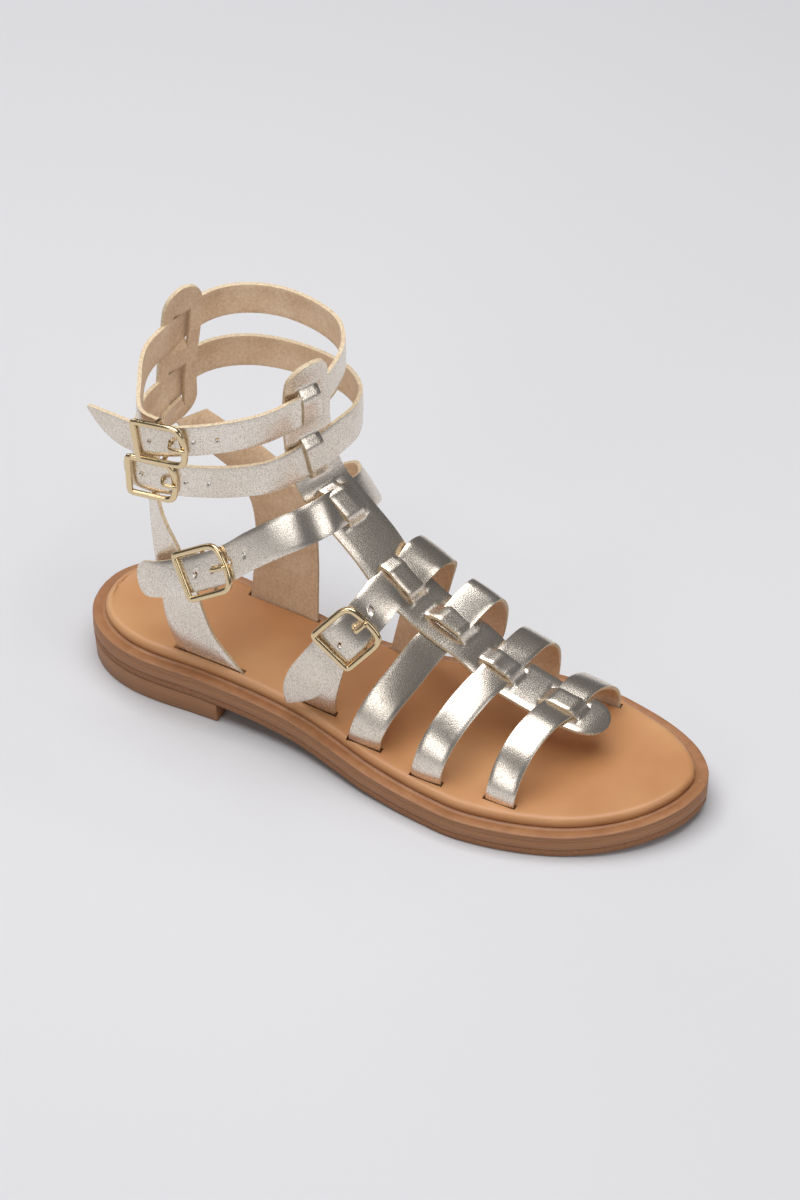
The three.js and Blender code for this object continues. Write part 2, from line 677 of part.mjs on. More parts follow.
// ---- The upper, all its straps in one ----
function upperSolid() {
  const straps = [
    ...footStrapRows,
    instepRows,
    lowerAnkleRows,
    lowerAnkleStayRows,
    ...ankleRows,
    tRows,
    backRows,
    lateralLegRows,
    medialLegRows,
  ].map((rows) => solid(band(rows)));
  const tBridges = [...FOOT_STRAPS, INSTEP_STRAP, LOWER_ANKLE_STRAP, ...ANKLE_STRAPS].map((s) =>
    solid(bridge(tRows, onT(s.over), s.width)),
  );
  const backBridges = ANKLE_STRAPS.map((s) => solid(bridge(backRows, onBack(s.over), s.width)));
  const joined = [...straps, ...tBridges, ...backBridges].reduce((all, one) => all.add(one));
  return BUCKLES.reduce((body, buckle) => {
    const hole = prong(buckle.length, PRONG_RADIUS + 0.35).applyMatrix4(buckleFrame(buckle));
    return body.subtract(solid(hole));
  }, joined);
}

// A slot a little larger than the strap that comes up through it.
function slot(rows) {
  const [end, next] = rows;
  const below = row(end.point.clone().add(vec(0, 0, -3)), end.across.clone(), 2 * end.across.length());
  return solid(band([below, end, next], SLOT_CLEARANCE));
}

const slotted = [
  ...footStrapRows,
  ...footStrapRows.map((rows) => [...rows].reverse()),
  instepRows,
  instepStayRows,
  lateralLegRows,
  medialLegRows,
];
const footbed = slotted.reduce((bed, rows) => bed.subtract(slot(rows)), solid(footbedPad()));

const foil = new THREE.MeshStandardMaterial({ color: "#b7ab98", metalness: 0.6, roughness: 0.4 });
const tan = new THREE.MeshStandardMaterial({ color: "#b98255", roughness: 0.5 });
const brown = new THREE.MeshStandardMaterial({ color: "#95643f", roughness: 0.6 });
const gilt = new THREE.MeshStandardMaterial({ color: "#d9c3a0", metalness: 1, roughness: 0.25 });

const sandal = new THREE.Group();
function add(name, geometry, material) {
  geometry.translate(-MIDDLE_X, -SOLE_LENGTH / 2, 0);
  const mesh = new THREE.Mesh(geometry, material);
  mesh.name = name;
  mesh.geometry.computeVertexNormals();
  sandal.add(mesh);
}

add("outsole", sealed(outsole), brown);
add("midsole", sealed(midsole), brown);
add("heel", geometryOf(heelBlock()), brown);
add("footbed", geometryOf(footbed), tan);
add("upper", geometryOf(upperSolid()), foil);
add("instep_stay", sealed(band(instepStayRows)), foil);
for (const buckle of BUCKLES) {
  const placed = buckleFrame(buckle);
  add(`buckle_${buckle.name}`, buckleRing(buckle).applyMatrix4(placed), gilt);
  add(`prong_${buckle.name}`, sealed(prong(buckle.length, PRONG_RADIUS).applyMatrix4(placed)), gilt);
}

export default sandal;
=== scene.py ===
import math
from bisect import bisect_left

import bmesh
import bpy
from mathutils import Matrix, Vector


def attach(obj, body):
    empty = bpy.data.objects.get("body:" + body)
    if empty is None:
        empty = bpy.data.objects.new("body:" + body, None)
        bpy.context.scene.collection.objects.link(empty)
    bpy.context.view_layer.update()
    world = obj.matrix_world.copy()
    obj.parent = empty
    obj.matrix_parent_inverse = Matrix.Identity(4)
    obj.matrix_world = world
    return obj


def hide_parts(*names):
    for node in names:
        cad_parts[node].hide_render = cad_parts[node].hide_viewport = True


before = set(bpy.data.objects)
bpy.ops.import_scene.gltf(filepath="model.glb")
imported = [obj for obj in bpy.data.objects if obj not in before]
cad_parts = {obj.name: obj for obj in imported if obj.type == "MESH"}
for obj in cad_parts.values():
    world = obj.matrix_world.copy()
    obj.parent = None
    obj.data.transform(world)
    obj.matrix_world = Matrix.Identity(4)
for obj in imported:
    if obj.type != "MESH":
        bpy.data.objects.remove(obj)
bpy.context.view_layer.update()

MM = 0.001
SOLE_LENGTH = 250
MIDDLE_X = 0.4
TO_FRAME = Matrix.Scale(MM, 4) @ Matrix.Translation((-MIDDLE_X, -SOLE_LENGTH / 2, 0))

OUTSOLE_THICK = 3.4
GAP = 0.3
MIDSOLE_THICK = 6.3
HEEL_LENGTH = 65.5
HEEL_TAPER = 0.8
RIM = 5.2
FOOTBED_THICK = 3.9
HEEL_SEAT_DISH = 0.9

STRAP_THICK = 1.5
LAYER = 1.65  # one thickness of leather and the air over it
BRIDGE_WIDTH = 8
SLIT_OVERRUN = 3
HOLE_RADIUS = 1.0
WIRE = 1.9  # width of a buckle's frame
RING_OUT = 2.1  # how far out of the strap's middle a buckle's frame lies
BAR_IN = 2.0  # and how far in its centre bar runs
PRONG_RADIUS = 0.8
PATH_STEPS = 48  # steps along a bar or a prong
PRONG_RISE = (4.2, 0, 0.9)  # where a prong comes up through its hole

# Plan of the sole: a half round at the heel and another at the toe, each a little fuller or leaner
# than an ellipse, and between them a few widths of the waist (y, x) on each side.
HEEL_ROUND = 40
HEEL_FULLNESS = 2.2
TOE_TIP = -8.5
TOE_FULLNESS = 1.9
END_FLAT = 2.4  # half of the short straight at the very back and front
TOE_START = 172
LATERAL_WAIST = [(40, 30.5), (70, 30), (100, 31.5), (135, 40), (168, 45)]
MEDIAL_WAIST = [(40, -29), (70, -26.5), (100, -25), (130, -31), (160, -41.5), (186, -45)]

# Side profile of the underside: level heel, arch down to the ground, flat ball, toe spring.
HEEL_HEIGHT = 9.7
ARCH = (45, 165)
SPRING_START = 208
SPRING_RISE = 4.4
SPRING_CURVE = 1.5

# T-strap, round end to ankle tab: what is there, x, y, z, width, turn to the little-toe side.
T_STRAP = [
    ("round end", -9, 209, 25.6, 18, 8),
    ("shoulder", -8.8, 207.4, 26.7, 18, 8),
    ("full width", -8.5, 204, 28.6, 18, 8),
    ("toe strap", -7, 192.4, 32, 19.5, 9),
    ("open", -6.5, 178, 36.6, 20, 10),
    ("third strap", -6, 167, 41.4, 20.5, 11),
    ("open", -5.5, 158, 48.9, 20.5, 12),
    ("second strap", -5, 146.6, 55.7, 21, 14),
    ("open", -4.5, 137, 61.6, 21, 15),
    ("instep strap", -4, 126.4, 70.5, 21.5, 16),
    ("plain instep", -3, 115.8, 85.6, 22, 17),
    ("lower ankle strap", -1, 103.6, 101.2, 22, 19),
    ("open", 0, 96.6, 110.2, 21.5, 21),
    ("middle ankle strap", 0.5, 92.3, 122.8, 21, 23),
    ("open", 1.5, 91.3, 135.2, 20.5, 24),
    ("top ankle strap", 2.3, 91.6, 147.5, 20.5, 25),
    ("tab", 3.3, 92.2, 160.6, 18.5, 25),
    ("tab shoulder", 3.8, 93.6, 166.6, 17.5, 25),
    ("tab top", 4, 94.4, 168.6, 17, 25),
]
# Back piece, fork to top, in the same columns.
BACK_PIECE = [
    ("fork", -8, 31.4, 108, 23, 12),
    ("middle ankle strap", -10, 30.6, 122.4, 19, 20),
    ("open", -11, 31, 135, 17.6, 25),
    ("top ankle strap", -12, 32.2, 148.6, 17.8, 26),
    ("shoulder", -12, 33.4, 160, 17, 26),
    ("round", -12, 34.2, 167, 16.5, 26),
    ("top", -12, 34.5, 169.4, 16.5, 26),
]
# Legs of the back piece, footbed to fork: x, y, z, width, turn round the heel, slope of the foot.
LATERAL_LEG = [
    (21, 60.5, 19.8, 29, 0, -0.07), (21.2, 56.5, 26.5, 25, 0, -0.03), (21.7, 51.5, 36, 20, 0, 0),
    (22, 48.3, 49, 17.6, 2, 0), (21.8, 45.4, 64, 16.4, 6, 0), (19.4, 40.4, 77, 15.6, 24, 0),
    (14.5, 34.6, 88, 14.5, 45, 0), (6.5, 31, 99, 13.5, 66, 0), (-2.5, 30.6, 110, 12.5, 84, 0),
    (-6, 31, 117, 12, 95, 0),
]
MEDIAL_LEG = [
    (-17.4, 70, 19, 29, 0, -0.09), (-19.6, 69.6, 30, 28, 0, -0.03), (-22, 69.4, 50, 26, 2, 0),
    (-22.6, 67.4, 68, 25.5, 6, 0), (-21.6, 61.6, 82, 24.5, 14, 0), (-18.8, 52.5, 92.4, 21.5, 28, 0),
    (-15, 42.6, 101.6, 17.5, 45, 0), (-12, 35.4, 109.5, 13.5, 60, 0),
]

# Straps over the foot: x, y, z and the lean of the strap's flat toward the ankle.
FOOT_STRAPS = [
    {
        "over": "toe strap", "width": 11.6,
        "lateral": [
            (32.5, 185.5, 11.2, 0), (31.6, 186, 18.5, 0), (26.5, 186.6, 26.5, 8),
            (18, 188.2, 33, 12), (7, 190.4, 35.6, 14),
        ],
        "medial": [
            (-19, 194.6, 33.6, 14), (-28.6, 196.6, 28.6, 10), (-34.2, 197.6, 20, 2),
            (-34, 198, 10.9, 0),
        ],
    },
    {
        "over": "third strap", "width": 12,
        "lateral": [
            (33.5, 156, 11.7, 0), (33.8, 156.8, 20, 0), (29.4, 158.6, 29.2, 8),
            (20, 161.6, 36.8, 18), (7.5, 165, 41.6, 24),
        ],
        "medial": [
            (-17, 170, 43.8, 24), (-27, 171.4, 42, 20), (-34, 172, 34, 10),
            (-36.4, 171.6, 22.6, 2), (-34.6, 171, 11.2, 0),
        ],
    },
    {
        "over": "second strap", "width": 13,
        "lateral": [
            (29, 128, 13.5, 0), (29.5, 129.4, 22.5, 4), (25, 132.8, 33, 14),
            (15.5, 138, 43, 26), (5.5, 142.8, 51.6, 30),
        ],
        "medial": [
            (-14, 150.6, 61.4, 30), (-21.6, 152.8, 62, 26), (-27.6, 153, 53.6, 18),
            (-30, 151, 38, 8), (-29, 148, 24, 2), (-28, 147, 12.3, 0),
        ],
    },
]
INSTEP_STRAP = {
    "over": "instep strap", "width": 15.2,
    "medial": [
        (-20, 121.5, 14.2, 0), (-25.2, 124, 34, 6), (-27.4, 128.6, 56, 16),
        (-23.4, 132.6, 72.5, 28), (-14, 131, 76.4, 34),
    ],
    "lateral": [
        (5.4, 125.4, 72, 36), (12.6, 123.8, 69.4, 38), (18, 121.4, 65.4, 41),
        (22, 118.2, 60.6, 42), (25.2, 112.8, 53.2, 40), (28.4, 107.6, 44.6, 32),
        (28.6, 101.4, 33.4, 24), (27.4, 97, 25.6, 20), (26.6, 94.8, 21.2, 20),
    ],
}
INSTEP_STAY = [
    (21.6, 105, 16.2, 0, 14), (22.6, 106.4, 28, 8, 14), (22.4, 109, 40, 24, 13.6),
    (21.4, 111.4, 48, 40, 13.4), (19, 113.6, 54, 42, 13.4),
]
LOWER_ANKLE_STRAP = {
    "over": "lower ankle strap", "width": 14, "tuck": 0.34,
    "medial": [
        (-22.6, 74, 74, 66), (-24.6, 81.6, 79, 64), (-28, 91, 86.4, 60), (-27.6, 99.6, 92.4, 56),
        (-20.6, 105.4, 96, 53), (-11.6, 107, 99.6, 52),
    ],
    "lateral": [
        (9.4, 103, 103.6, 54), (16.8, 98, 102, 56), (21.4, 89.6, 97, 58), (24.2, 79.6, 89, 60),
        (25.8, 70, 79.8, 64), (26.8, 60.4, 72.8, 70), (28.2, 50.4, 67.2, 72), (28.4, 42.6, 63, 72),
        (27, 35.6, 59.6, 72), (26.2, 32.6, 58.2, 72),
    ],
}
LOWER_ANKLE_STAY = [
    (21.8, 41.5, 61.6, 72, 13), (22.8, 47, 64.4, 72, 13), (23.6, 52.4, 67.6, 72, 13),
    (23.6, 57.4, 70.2, 72, 12.6),
]
ANKLE_STRAPS = [
    {
        "over": "middle ankle strap", "width": 14,
        "to_back": [
            (33, 43.4, 121.7, 90), (30.6, 36.6, 121.7, 90), (20, 31, 122.6, 90), (7, 27.4, 123.2, 90),
        ],
        "inner": [
            (-24.4, 31, 124.6, 90), (-33, 37.6, 125.4, 90), (-39, 48, 125.8, 90),
            (-41.6, 60, 126, 90), (-41.6, 74, 126, 90), (-38.6, 87, 125.8, 90),
            (-31, 96.4, 125.4, 90), (-20.6, 99.6, 125, 86), (-11, 98, 124.6, 82),
        ],
        "to_point": [
            (11, 90.6, 123.4, 82), (20, 84.6, 123, 86), (27.6, 74, 122.6, 90),
            (32.6, 63.4, 122.4, 90), (35.4, 54, 122, 90), (36.6, 46, 121.6, 90),
            (36.6, 38.6, 121.9, 90), (35.8, 35, 122.4, 90, 11),
        ],
    },
    {
        "over": "top ankle strap", "width": 13.3,
        "to_back": [
            (37.4, 50.4, 143.8, 90), (35, 42, 143.6, 90), (24, 35.4, 146, 90), (9, 29.6, 148.6, 90),
        ],
        "inner": [
            (-25.4, 34, 150, 90), (-33.4, 39.6, 150.4, 90), (-38.8, 48, 150.6, 90),
            (-41.4, 58, 150.7, 90), (-41.2, 68, 150.6, 90), (-38.6, 78.6, 150.4, 90),
            (-34, 86.6, 150.2, 90), (-25, 92.6, 149.8, 90), (-13, 95, 149.2, 90),
        ],
        "to_point": [
            (13.4, 90.4, 148.4, 90), (23, 84.6, 148, 90), (33, 74, 147.6, 90),
            (39, 63.6, 146.6, 90), (41, 53, 144, 90), (41.4, 43, 142.4, 90), (41, 36, 143, 90),
            (40, 29, 144.6, 90), (38.6, 22.4, 147.4, 90),
        ],
    },
]
# Buckles: centre bar's middle, toward the front, along the bar, opening, length.
BUCKLES = {
    "instep": ((22, 118.2, 60.6), (-6.8, 12, 15), (0.1, -13.8, 12.4), 16.4, 20.6),
    "lower_ankle": ((26.8, 61.4, 73.6), (-2.2, 20.6, 13.4), (-6.4, -6.1, 18.5), 16, 21.6),
    "middle_ankle": ((36.4, 46.6, 121.8), (-2, 18.8, 0.5), (0, -0.4, 16), 14.8, 19),
    "top_ankle": ((41, 53.4, 144.2), (-0.4, 19.6, 2.6), (0, -2, 16), 14.6, 20.6),
}
# Punched holes: one past the prong's own toward the point, then the rest, all at one pitch.
HOLE_PITCH = 8.5
HOLE_TO_END = 4  # leather that must be left past the last hole
HOLE_SEARCH_STEP = 0.25  # how finely the strap is searched for the prong, back from its end
HOLE_SEARCH_COUNT = 280
HOLE_COUNT = {"instep": 3, "lower_ankle": 4, "middle_ankle": 4, "top_ankle": 4}


# ---- Lines and straps ----
def on_line(points, t):
    """A point t of the way along a smooth line through points, even in rows and not in length."""
    last = len(points) - 1
    start = min(max(int(t * last), 0), last - 1)
    w = t * last - start
    b, c = points[start], points[start + 1]
    a = points[start - 1] if start > 0 else 2 * b - c
    d = points[start + 2] if start + 2 <= last else 2 * c - b
    ab, bc, cd = (max((q - p).length, 1e-6) ** 0.5 for p, q in ((a, b), (b, c), (c, d)))
    leave = ((b - a) / ab - (c - a) / (ab + bc) + (c - b) / bc) * bc
    arrive = ((c - b) / bc - (d - b) / (bc + cd) + (d - c) / cd) * bc
    return (
        b + leave * w + (3 * (c - b) - 2 * leave - arrive) * w**2
        + (2 * (b - c) + leave + arrive) * w**3
    )


def ease(x):
    """0 below 0, 1 above 1, and a soft step between."""
    x = min(max(x, 0), 1)
    return x * x * (3 - 2 * x)


class Strap:
    """A strap's centre line and width. Distances along it are millimetres from its first row."""

    def __init__(self, rows):
        self.points = [point for point, _ in rows]
        self.sides = [side for _, side in rows]
        steps = 40 * (len(rows) - 1)
        walk = [on_line(self.points, i / steps) for i in range(steps + 1)]
        self.marks = [0.0]
        for a, b in zip(walk, walk[1:]):
            self.marks.append(self.marks[-1] + (b - a).length)
        self.length = self.marks[-1]

    def fraction(self, distance):
        i = min(max(bisect_left(self.marks, distance), 1), len(self.marks) - 1)
        low, high = self.marks[i - 1], self.marks[i]
        return (i - 1 + (distance - low) / (high - low)) / (len(self.marks) - 1)

    def distance_of_row(self, index):
        return self.marks[40 * index]

    def at(self, distance):
        """The centre, the direction across, the outward face and the half width there."""
        t = min(max(self.fraction(distance), 0), 1)
        side = on_line(self.sides, t)
        half = side.length
        side.normalize()
        low, high = max(t - 0.001, 0), min(t + 0.001, 1)
        ahead = (on_line(self.points, high) - on_line(self.points, low)).normalized()
        face = ahead.cross(side).normalized()
        return on_line(self.points, t), side, face, half


def row(point, across, width):
    return point, across.normalized() * width / 2


def leaning(rows, width, sign, tuck=0):
    """Rows whose flat lies level along the foot at lean 0 and stands upright at 90. tuck leans
    the upper edge in toward the leg."""
    made = []
    for x, y, z, lean, *own in rows:
        a = math.radians(lean)
        across = Vector((-tuck, -math.cos(a), math.sin(a))) * sign
        made.append(row(Vector((x, y, z)), across, own[0] if own else width))
    return made


def facing(rows, sign):
    """Rows of the T-strap or the back piece, level across and turned to one side."""
    made = []
    for _, x, y, z, width, turn in rows:
        a = math.radians(turn)
        made.append(row(Vector((x, y, z)), Vector((math.cos(a), -math.sin(a), 0)) * sign, width))
    return made


def leg(rows, sign):
    made = []
    for x, y, z, width, turn, slope in rows:
        a = math.radians(turn)
        across = Vector((-math.sin(a), sign * math.cos(a), sign * slope))
        made.append(row(Vector((x, y, z)), across, width))
    return made


def where(table, name):
    return [r[0] for r in table].index(name)


def crossing(under, index, width, sign):
    """The row where a strap rides over a slit one, one layer out."""
    strap = Strap(under)
    point, side, face, _ = strap.at(strap.distance_of_row(index))
    ahead = side.cross(face)
    return row(point + face * LAYER, ahead * sign, width)


# ---- Bending a sheet of leather ----
def stations(length, marks=(), step=1.7, round_start=False, round_end=False):
    """Distances along a strap at even steps that fall on every mark, closer at a shaped end."""
    stops = [0, *sorted(marks), length]
    made = [0.0]
    for low, high in zip(stops, stops[1:]):
        count = max(1, round((high - low) / step))
        made += [low + (high - low) * (i + 1) / count for i in range(count)]
    close = (0.1, 0.4, 0.9, 1.6)
    if round_start:
        made = sorted({*close, *(d for d in made if d == 0 or d > 2.2)})
    if round_end:
        made = sorted({*(length - d for d in close), *(d for d in made if d == length or d < length - 2.2)})
    return made


def shaped(half, gone, kind):
    """Half width near an end: gone is how far the end is."""
    if kind == "round" and gone < half:
        return half * math.sqrt(max(0, 1 - (1 - gone / half) ** 2))
    if kind == "point" and gone < 3 * half:
        return half * (1 - (1 - gone / (3 * half)) ** 1.9) ** 0.85
    if kind == "blunt" and gone < 0.8 * half:
        return half * (1 - (1 - gone / (0.8 * half)) ** 2.4) ** (1 / 2.4)
    return half


def plain_columns(half):
    return [half * i / 3 for i in range(-3, 4)]


def slit_columns(half):
    """Columns of a strap with slits: the third from each edge runs along a slit."""
    slit = min(BRIDGE_WIDTH / 2, 0.45 * half)
    outer = (half + slit) / 2
    return [-half, -outer, -slit, -slit / 2, 0, slit / 2, slit, outer, half]


def sheet_of(strap, at, columns=plain_columns, ends=("cut", "cut"), crown=0.25):
    """A bmesh of the strap's middle surface, with its flat pattern as its UV map, in metres."""
    bm = bmesh.new()
    last = len(columns(1)) - 1
    column = bm.verts.layers.int.new("column")
    station = bm.verts.layers.int.new("station")
    pattern = bm.loops.layers.uv.new("pattern")
    bmesh.ops.create_grid(bm, x_segments=last, y_segments=len(at) - 1, size=0.5)
    cut_out = {}
    for v in bm.verts:
        v[column] = round((v.co.x + 0.5) * last)
        v[station] = round((v.co.y + 0.5) * (len(at) - 1))
        gone = at[v[station]]
        centre, side, face, half = strap.at(gone)
        now = min(shaped(half, gone, ends[0]), shaped(half, strap.length - gone, ends[1]))
        off = columns(max(now, 0.001))[v[column]]
        v.co = centre - side * off + face * crown * (1 - (off / half) ** 2)
        cut_out[v] = (off * MM, gone * MM)
    for f in bm.faces:
        for loop in f.loops:
            loop[pattern].uv = cut_out[loop.vert]
    return bm


def punch(bm, strap, gone, radius=HOLE_RADIUS):
    """A punched hole, with the foil pressed down a little round it."""
    centre, _, face, _ = strap.at(gone)
    at = min(bm.verts, key=lambda v: (v.co - centre).length)
    middle = at.co.copy()
    cut = bmesh.ops.bevel(
        bm, geom=[at], affect="VERTICES", offset=1.4 * radius, offset_type="OFFSET",
        segments=4, profile=0.5, material=-1,
    )
    bmesh.ops.delete(bm, geom=cut["faces"], context="FACES")
    near = [e for e in bm.edges if e.is_boundary]
    rim = [e for e in near if all((v.co - middle).length < 1.7 * radius for v in e.verts)]
    for v in {v for e in rim for v in e.verts}:
        v.co = middle + (v.co - middle).normalized() * 1.4 * radius
    inner = bmesh.ops.extrude_edge_only(bm, edges=rim)["geom"]
    for v in [g for g in inner if isinstance(g, bmesh.types.BMVert)]:
        v.co = middle + (v.co - middle).normalized() * radius - face * 0.3


def slit_ends(crossings):
    """Where the slits start and stop for (distance, width) of each strap held."""
    return [(d - w / 2 - SLIT_OVERRUN, d + w / 2 + SLIT_OVERRUN) for d, w in crossings]


def cut_slits(bm, strap, at, crossings):
    """Slits the sheet each side of its middle and arches the strip between over what it holds."""
    column = bm.verts.layers.int["column"]
    station = bm.verts.layers.int["station"]
    reach = slit_ends(crossings)

    def inside(i):
        return any(low - 0.01 <= at[i] <= high + 0.01 for low, high in reach)

    def on_slit(edge):
        a, b = edge.verts
        if a[column] != b[column] or a[column] not in (2, 6):
            return False
        middle = (at[a[station]] + at[b[station]]) / 2
        return any(low < middle < high for low, high in reach)

    bmesh.ops.split_edges(bm, edges=[e for e in bm.edges if on_slit(e)])
    for v in bm.verts:
        if not inside(v[station]):
            continue
        touched = {w[column] for f in v.link_faces for w in f.verts}
        if min(touched) < 2 or max(touched) > 6:
            continue
        gone = at[v[station]]
        low, high = next(r for r in reach if r[0] - 0.01 <= gone <= r[1] + 0.01)
        _, _, face, _ = strap.at(gone)
        climb = ease(min(gone - low, high - gone) / (SLIT_OVERRUN + 2.2))
        v.co += face * 2 * LAYER * climb


def piece(name, bm, leathers, nodes=("upper",), thick=STRAP_THICK, soften=0.28):
    """Makes the object: a sheet gets its thickness and its outside, inside and cut edge."""
    bmesh.ops.remove_doubles(bm, verts=bm.verts, dist=0.0005)
    for f in bm.faces:
        f.smooth = True
    bm.transform(TO_FRAME)
    mesh = bpy.data.meshes.new(name)
    bm.to_mesh(mesh)
    bm.free()
    made = bpy.data.objects.new(name, mesh)
    bpy.context.scene.collection.objects.link(made)
    for leather in leathers:
        mesh.materials.append(leather)
    if thick:
        wall = made.modifiers.new("thickness", "SOLIDIFY")
        wall.thickness = thick * MM
        wall.offset = 0
        wall.use_even_offset = True
        wall.material_offset = 1
        wall.material_offset_rim = 2
    if soften:
        edge = made.modifiers.new("rubbed edge", "BEVEL")
        edge.width = soften * MM
        edge.segments = 2
        edge.limit_method = "ANGLE"
        edge.angle_limit = math.radians(50)
    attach(made, "root")
    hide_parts(*nodes)
    return made


# ---- Finishes ----
def linear(code):
    """An sRGB hex colour as linear red, green, blue and alpha."""
    parts = [int(code[i : i + 2], 16) / 255 for i in (1, 3, 5)]
    return (*(p / 12.92 if p <= 0.04045 else ((p + 0.055) / 1.055) ** 2.4 for p in parts), 1)


def add(tree, kind, settings=None, inputs=None, stops=None):
    """Adds a node with its settings. An input is a value, or the output that it is linked from."""
    made = tree.nodes.new("ShaderNode" + kind)
    for name, value in (settings or {}).items():
        setattr(made, name, value)
    for name, value in (inputs or {}).items():
        if isinstance(value, bpy.types.NodeSocket):
            tree.links.new(value, made.inputs[name])
        else:
            made.inputs[name].default_value = value
    for i, (position, code) in enumerate(stops or []):
        ramp = made.color_ramp.elements
        stop = ramp[i] if i < len(ramp) else ramp.new(position)
        stop.position = position
        stop.color = linear(code)
    return made


def finish_named(name):
    """A new material with its shader: the node tree, the shader and the place in the object."""
    made = bpy.data.materials.new(name)
    made.use_nodes = True
    tree = made.node_tree
    shader = tree.nodes["Principled BSDF"]
    place = add(tree, "TexCoord").outputs["Object"]
    return made, tree, shader, place


def foil_leather():
    """Calf with a platinum foil pressed on it: a metal face that mirrors softly, broken by the
    fine crackle of the grain, drawn at 0.5 mm, so it sparkles from white to grey."""
    made, tree, shader, place = finish_named("platinum foil leather")
    grain = add(tree, "TexNoise", None, {"Vector": place, "Scale": 1 / 0.0005, "Detail": 2, "Roughness": 0.6})
    rubbed = add(tree, "TexNoise", None, {"Vector": place, "Scale": 1 / 0.03, "Detail": 3})
    tone = add(tree, "ValToRGB", None, {"Fac": rubbed.outputs["Fac"]}, [(0.35, "#ebe0d2"), (0.65, "#f7eee3")])
    speck = add(tree, "ValToRGB", None, {"Fac": grain.outputs["Fac"]}, [(0.36, "#a89d8d"), (0.55, "#ffffff")])
    colour = add(
        tree, "Mix", {"data_type": "RGBA", "blend_type": "MULTIPLY"},
        {0: 0.5, 6: tone.outputs["Color"], 7: speck.outputs["Color"]},
    )
    tree.links.new(colour.outputs[2], shader.inputs["Base Color"])
    rough = add(
        tree, "MapRange", None,
        {"Value": grain.outputs["Fac"], "From Min": 0.3, "From Max": 0.7, "To Min": 0.34, "To Max": 0.2},
    )
    tree.links.new(rough.outputs["Result"], shader.inputs["Roughness"])
    relief = add(tree, "Bump", None, {"Height": grain.outputs["Fac"], "Strength": 0.25, "Distance": 0.00018})
    tree.links.new(relief.outputs["Normal"], shader.inputs["Normal"])
    shader.inputs["Metallic"].default_value = 0.95
    return made


def suede():
    """The split inside of the same calf: a dry tan nap with pale and dark flecks."""
    made, tree, shader, place = finish_named("tan suede lining side")
    nap = add(tree, "TexNoise", None, {"Vector": place, "Scale": 1 / 0.0012, "Detail": 4, "Roughness": 0.7})
    patch = add(tree, "TexNoise", None, {"Vector": place, "Scale": 1 / 0.014, "Detail": 3})
    both = add(
        tree, "Mix", {"data_type": "FLOAT"}, {0: 0.6, 2: patch.outputs["Fac"], 3: nap.outputs["Fac"]},
    )
    tone = add(
        tree, "ValToRGB", None, {"Fac": both.outputs[0]},
        [(0.34, "#cfae8b"), (0.5, "#e2c6a6"), (0.66, "#f0dbc0")],
    )
    tree.links.new(tone.outputs["Color"], shader.inputs["Base Color"])
    relief = add(tree, "Bump", None, {"Height": nap.outputs["Fac"], "Strength": 0.5, "Distance": 0.0003})
    tree.links.new(relief.outputs["Normal"], shader.inputs["Normal"])
    shader.inputs["Roughness"].default_value = 0.95
    shader.inputs["Sheen Weight"].default_value = 0.15
    return made


def raw_edge():
    """The cut edge of vegetable-tanned calf, sealed with a clear cream dressing."""
    made, tree, shader, place = finish_named("dressed raw edge")
    fibre = add(tree, "TexNoise", None, {"Vector": place, "Scale": 1 / 0.0008, "Detail": 3})
    tone = add(tree, "ValToRGB", None, {"Fac": fibre.outputs["Fac"]}, [(0.35, "#c4ab88"), (0.62, "#ddcbae")])
    tree.links.new(tone.outputs["Color"], shader.inputs["Base Color"])
    shader.inputs["Roughness"].default_value = 0.6
    return made


def footbed_leather():
    """Aniline sheep over a thin foam: smooth and warm tan, a soft sheen, clouded by handling."""
    made, tree, shader, place = finish_named("tan footbed leather")
    cloud = add(tree, "TexNoise", None, {"Vector": place, "Scale": 1 / 0.04, "Detail": 3, "Roughness": 0.45})
    pores = add(tree, "TexNoise", None, {"Vector": place, "Scale": 1 / 0.0007, "Detail": 2})
    tone = add(
        tree, "ValToRGB", None, {"Fac": cloud.outputs["Fac"]},
        [(0.3, "#b57e50"), (0.5, "#c28c5e"), (0.72, "#cc9a6b")],
    )
    tree.links.new(tone.outputs["Color"], shader.inputs["Base Color"])
    relief = add(tree, "Bump", None, {"Height": pores.outputs["Fac"], "Strength": 0.12, "Distance": 0.0002})
    tree.links.new(relief.outputs["Normal"], shader.inputs["Normal"])
    shader.inputs["Roughness"].default_value = 0.42
    return made


